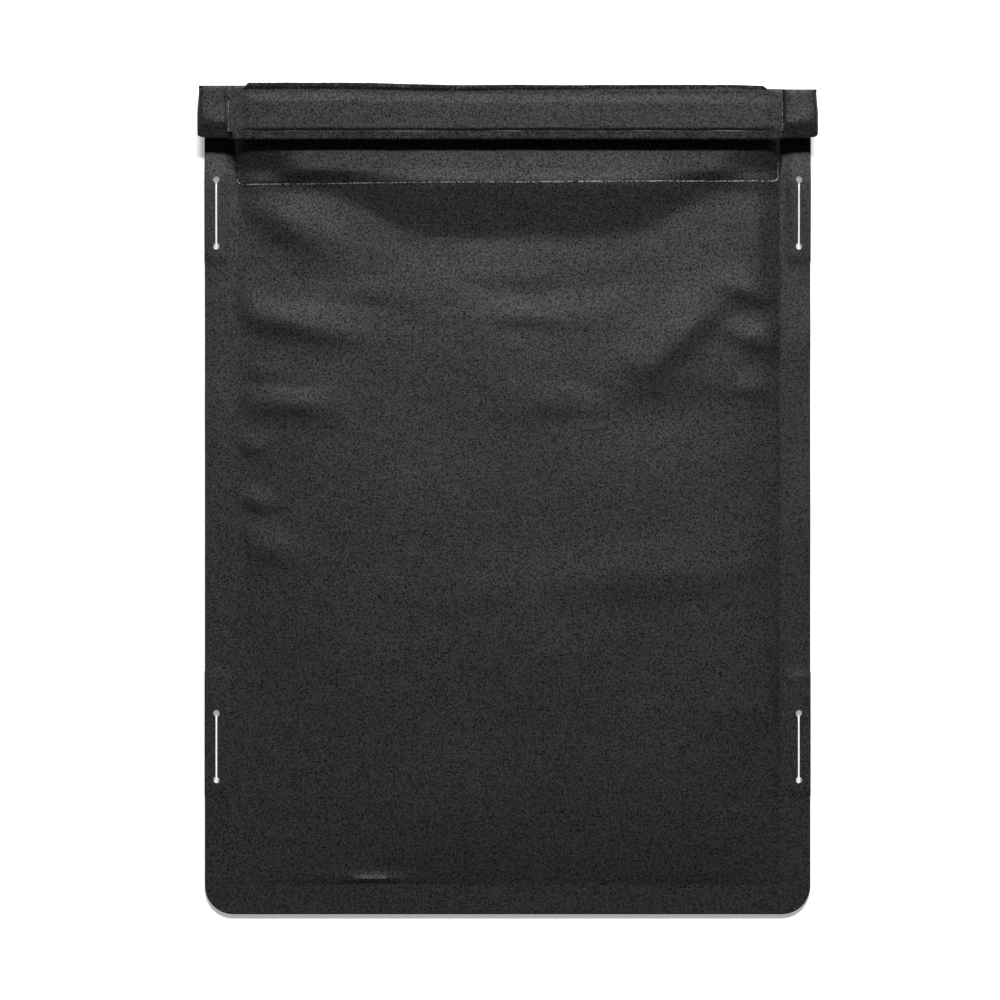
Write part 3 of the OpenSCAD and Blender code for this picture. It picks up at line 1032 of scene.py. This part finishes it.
def make_inner_fold():
    """The front sheet turns back inside the fold to become the front lip."""
    low, high = HELD_Z - FABRIC + 0.07, front_lip_low[2] + FABRIC - 0.05
    turn_y = FOLD_Y - 1.8
    corners = [(FRONT_END_Y - 0.9, low), (turn_y, low), (turn_y, high), (front_lip_high[1] - 0.8, high)]
    path = rounded_path(corners, [1.2, 1.2], step=0.4)
    middle_z = (low + high) / 2
    middle = path.nearest(turn_y, middle_z)
    half_w = HALF_W - 1.0
    xs = graded(-half_w, half_w, 2.5, fine=(-WELD_X + 2, WELD_X - 2), fine_step=0.8, reach=5)
    waves = Waves(43, 12, 40)

    def lift(x, s):
        return 0.05 * waves(x, s) * smooth(s / 2) * smooth((path.length - s) / 2)

    def follow_front(points):
        """Its lower part comes down to the margins, as the front sheet's end does."""
        x, y, z = points.T
        drop = front_z(x, np.full(x.shape, FRONT_END_Y)) - HELD_Z
        share = np.clip((middle_z - z) / (middle_z - low), 0, 1)
        return slant_fold(np.column_stack([x, y, z + drop * share]))

    def half(name, start, end):
        lines = np.linspace(start, end, 13)
        return swept_sheet(name, path, xs, lines, 0.42, cut_fabric, lift, adjust=follow_front)

    lower = half("inner_fold_lower_sheet", 0, middle)
    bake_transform(lower)
    stands_for(lower, "fold_inner")
    upper = half("inner_fold_upper_sheet", middle, path.length)
    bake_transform(upper)


def make_front_lip():
    """The front lip's two sheets round its bar, and the binding over their edges at the mouth."""
    edge_y, top, low = MOUTH_Y + 0.4, front_pocket_high[2], front_lip_low[2]
    slope_y, hem_y = (156.0, 153.4, 155.5), 155.6
    corners = [(front_pocket_high[1] - 0.2, top), (slope_y[0], top), (slope_y[1], top - 0.35)]
    corners += [(edge_y, top - 0.35), (edge_y, low + 0.05), (slope_y[2], low + 0.05)]
    corners += [(front_lip_high[1] - 0.3, low)]
    path = rounded_path(corners, [2.0, 1.0, 0.5, 0.5, 1.0], step=0.4)
    xs = graded(-FLAP_HALF_W, FLAP_HALF_W, 2.0)
    waves = Waves(45, 14, 40)
    top_hem, low_hem = path.nearest(hem_y, top), path.nearest(hem_y, low)

    def lift(x, s):
        under = smooth((s - top_hem + 0.6) / 1.0) * smooth((low_hem + 0.6 - s) / 1.0)
        return 0.04 * waves(x, s) - 0.27 * under

    def binding_lift(x, s):
        return 0.04 * waves(x, s)

    def piece(node, start, end, step, thickness, materials, height):
        lines = graded(start, end, step)
        name = "front_lip_sheet" if node == "front_lip_panel" else f"{node}_sheet"
        obj = swept_sheet(name, path, xs, lines, thickness, materials, height)
        stands_for(obj, node, "front_lip")

    hidden = 2.0
    under_hem, over_hem = top_hem + hidden, low_hem - hidden
    binding = [binding_fabric, dull_edge]
    piece("front_lip_pocket", 0, under_hem, 1.0, 0.28, cut_fabric, lift)
    piece("front_lip_panel", over_hem, path.length, 1.0, 0.42, cut_fabric, lift)
    piece("front_lip_binding", top_hem, low_hem, 0.4, 0.25, binding, binding_lift)


def make_back_pocket():
    """The sheet that holds the back lip's bar from below."""
    (_, first_y, z), (_, last_y, _) = back_pocket_low, back_pocket_high
    path = rounded_path([(first_y + 0.2, z + 0.15), (last_y - 0.4, z)], [])
    xs, lines = graded(-FLAP_HALF_W, FLAP_HALF_W, 2.5), graded(0, path.length, 1.2)
    waves = Waves(47, 14, 40)

    def lift(x, s):
        return 0.04 * waves(x, s)

    pocket = swept_sheet("back_lip_pocket_sheet", path, xs, lines, 0.28, cut_fabric, lift)
    stands_for(pocket, "back_lip_pocket", "back_lip")


def make_back_lip():
    """The back lip's sheet, the patch over it, frayed at the fold and painted darker there as shade, and the
    binding at the mouth.
    """
    xs = graded(-FLAP_HALF_W, FLAP_HALF_W, 1.2, fine=(-bar_half_w, bar_half_w), fine_step=0.4)
    panel_s = graded(CREASE_MIDDLE, wall.length - 0.3, 0.8)
    panel = swept_sheet(
        "back_lip_sheet", wall, xs, panel_s, FABRIC - 0.05, cut_fabric, lip_lift, adjust=slant_fold
    )
    stands_for(panel, "back_lip_panel")
    groove_s = bar_mid_s + bar_half_h + 1.5
    patch_s = graded(CREASE_MIDDLE - 0.3, wall_s(18.6), 0.5, fine=(groove_s,), fine_step=0.25, reach=3.2)
    strip_s = np.arange(CREASE_MIDDLE - 0.3, CREASE_MIDDLE + 2.2, 0.22)
    patch_s = np.concatenate([strip_s, patch_s[patch_s > strip_s[-1] + 0.15]])
    # the patch's frayed strip at the fold is coloured dark: frayed thread ends and painted shade
    patch = swept_sheet(
        "flap_patch_sheet", wall, graded(PATCH_LEFT, PATCH_RIGHT, 0.6), patch_s, 0.36,
        [patch_fabric, frayed_edge_painted_shade, raw_edge], patch_lift, start=patch_start, side_bevel=0.25,
        fringe=patch_fringe, adjust=slant_fold, frayed_shade_part=on_frayed_painted_shade_strip,
    )
    stands_for(patch, "flap_patch")
    for obj in (panel, patch):
        start, end = (on_middle(*wall.at(s)) for s in (CREASE_MIDDLE, CREASE_END + 0.6))
        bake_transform(obj)

    def binding_lift(x, s):
        return 0.40 + 0.05 * lip_waves(x, s) + 0.02 * lip_ripples(x, s) + lip_droop(s)

    binding_s = np.linspace(wall_s(18.3), wall.length, 24)
    binding = swept_sheet(
        "back_lip_binding_sheet", wall, xs, binding_s, 0.34, [binding_fabric, dull_edge], binding_lift
    )
    stands_for(binding, "back_lip_binding", "back_lip")


TAB_TOP = LIP_TOP - 0.1
TAB_BOTTOM = tab_low[2]
TAB_MIDDLE = (TAB_TOP + TAB_BOTTOM) / 2 - 0.3
TAB_SPLIT = TAB_TOP - 2.75
TAB_ROUND = 2.6
TAB_NOSE_Y, TAB_STEP_Y = 158.2, 152.9  # where the upper skin's slope to the mouth begins and ends


def tab_paths():
    """The upper skin, from the fold to the middle of the round mouth end, and the lower one."""
    corners = [tuple(wall.at(CREASE_MIDDLE)), (FOLD_Y - CREASE_RADIUS, TAB_TOP), (TAB_NOSE_Y, TAB_TOP + 0.3)]
    corners += [(TAB_STEP_Y, TAB_TOP - 1.8), (TAB_MOUTH_Y, TAB_TOP - 2.4), (TAB_MOUTH_Y, TAB_SPLIT)]
    lower = [(TAB_MOUTH_Y, TAB_SPLIT), (TAB_MOUTH_Y, TAB_BOTTOM), (FRONT_END_Y - 1, TAB_BOTTOM)]
    return rounded_path(corners, [0.8, 5.0, 0.8, 0.6], step=0.5), rounded_path(lower, [0.5], step=0.8)


def round_tab_side(points):
    """Brings the skins together along the tab's outer side and mouth corner."""
    x, y, z = points.T
    t = np.clip((np.abs(x) - (TAB_X - TAB_ROUND)) / TAB_ROUND, 0, 1)
    keep = np.sqrt(1 - (0.95 * t) ** 2)
    nose_y = TAB_MOUTH_Y + 2.4
    new_z = TAB_MIDDLE + (z - TAB_MIDDLE) * keep
    new_y = np.where(y < nose_y, nose_y + (y - nose_y) * (0.3 + 0.7 * keep), y)
    bulge = 0.7 * smooth((FOLD_Y - y) / 12) * smooth((y - TAB_MOUTH_Y + 5) / 7)
    new_x = x + np.sign(x) * bulge * smooth((np.abs(x) - 120) / 8)
    return slant_fold(np.column_stack([new_x, new_y, new_z]))


def make_tabs():
    """Two skins each; the lower one rides with the front lip."""
    upper_path, lower_path = tab_paths()
    inner_x = tab_low[0] - 0.15
    waves = Waves(51, 8, 20)
    nose_s = upper_path.nearest(TAB_NOSE_Y, TAB_TOP + 0.2)
    for side, sign, hem, gap in (("left", -1, 2.6, 0.15), ("right", 1, 1.4, 0.75)):
        hem_x = inner_x + hem
        inner = np.arange(inner_x, hem_x + 1.2, 0.2)
        outer = TAB_X - TAB_ROUND * (1 - np.sin(np.linspace(0.1, 1, 12) * math.pi / 2))
        xs = np.sort(sign * np.concatenate([inner, np.linspace(inner[-1] + 0.7, outer[0] - 0.6, 10), outer]))

        def ripple(x, s):
            return 0.07 * waves(x * sign, s)

        def early(x):
            return -0.45 * smooth((np.abs(x) - hem_x) / (TAB_X - hem_x))

        def lower_lift(x, s):
            return ripple(x, s + upper_path.length) + (early(x) + 0.02) * (1 - smooth((s - 0.6) / 3))

        def upper_lift(x, s):
            drawn_in = early(x) * smooth((s - nose_s + 3.5) / 4)
            step = 0.22 * (1 - smooth((np.abs(x) - hem_x) / 0.4))
            valley = -gap * bell(np.abs(x) - inner_x - 0.45, 0.35) * smooth((nose_s - s + 1) / 2)
            return ripple(x, s) + drawn_in + step + valley

        def skin(level, path, count, lift):
            name, lines = f"tab_{side}_{level}", np.linspace(0, path.length, count)
            return swept_sheet(name, path, xs, lines, 0.5, cut_fabric, lift, adjust=round_tab_side)

        upper = skin("upper", upper_path, 60, upper_lift)
        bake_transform(upper)
        stands_for(upper, f"tab_{side}")
        lower = skin("lower", lower_path, 24, lower_lift)
        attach(lower, "front_lip")


def declare_sheets():
    """Lists the margin sheets' names and does nothing more with them."""
    margins = [f"slit_patch_{row}_{side}_sheet" for row in ("upper", "lower") for side in ("left", "right")]
    margins += ["seam_sheet_left", "seam_sheet_right"]


def dress_cad_nodes():
    """Carried-over CAD nodes keep their shape and get a finish."""
    kinds = {
        seam_film: ["bottom_seam"],
        bar_plastic: ["landing_strip", "front_lip_bar", "back_lip_bar"],
        magnet_nickel: ["landing_magnets", "front_lip_magnets", "back_lip_magnets"],
    }
    for material, nodes in kinds.items():
        for node in nodes:
            for slot in frame["nodes"][node].material_slots:
                slot.material = material


set_scene()
make_pouch_sheets()
make_margins()
make_linings()
make_landing_patch()
make_fold()
make_inner_fold()
make_front_lip()
make_back_pocket()
make_back_lip()
make_tabs()
declare_sheets()
dress_cad_nodes()
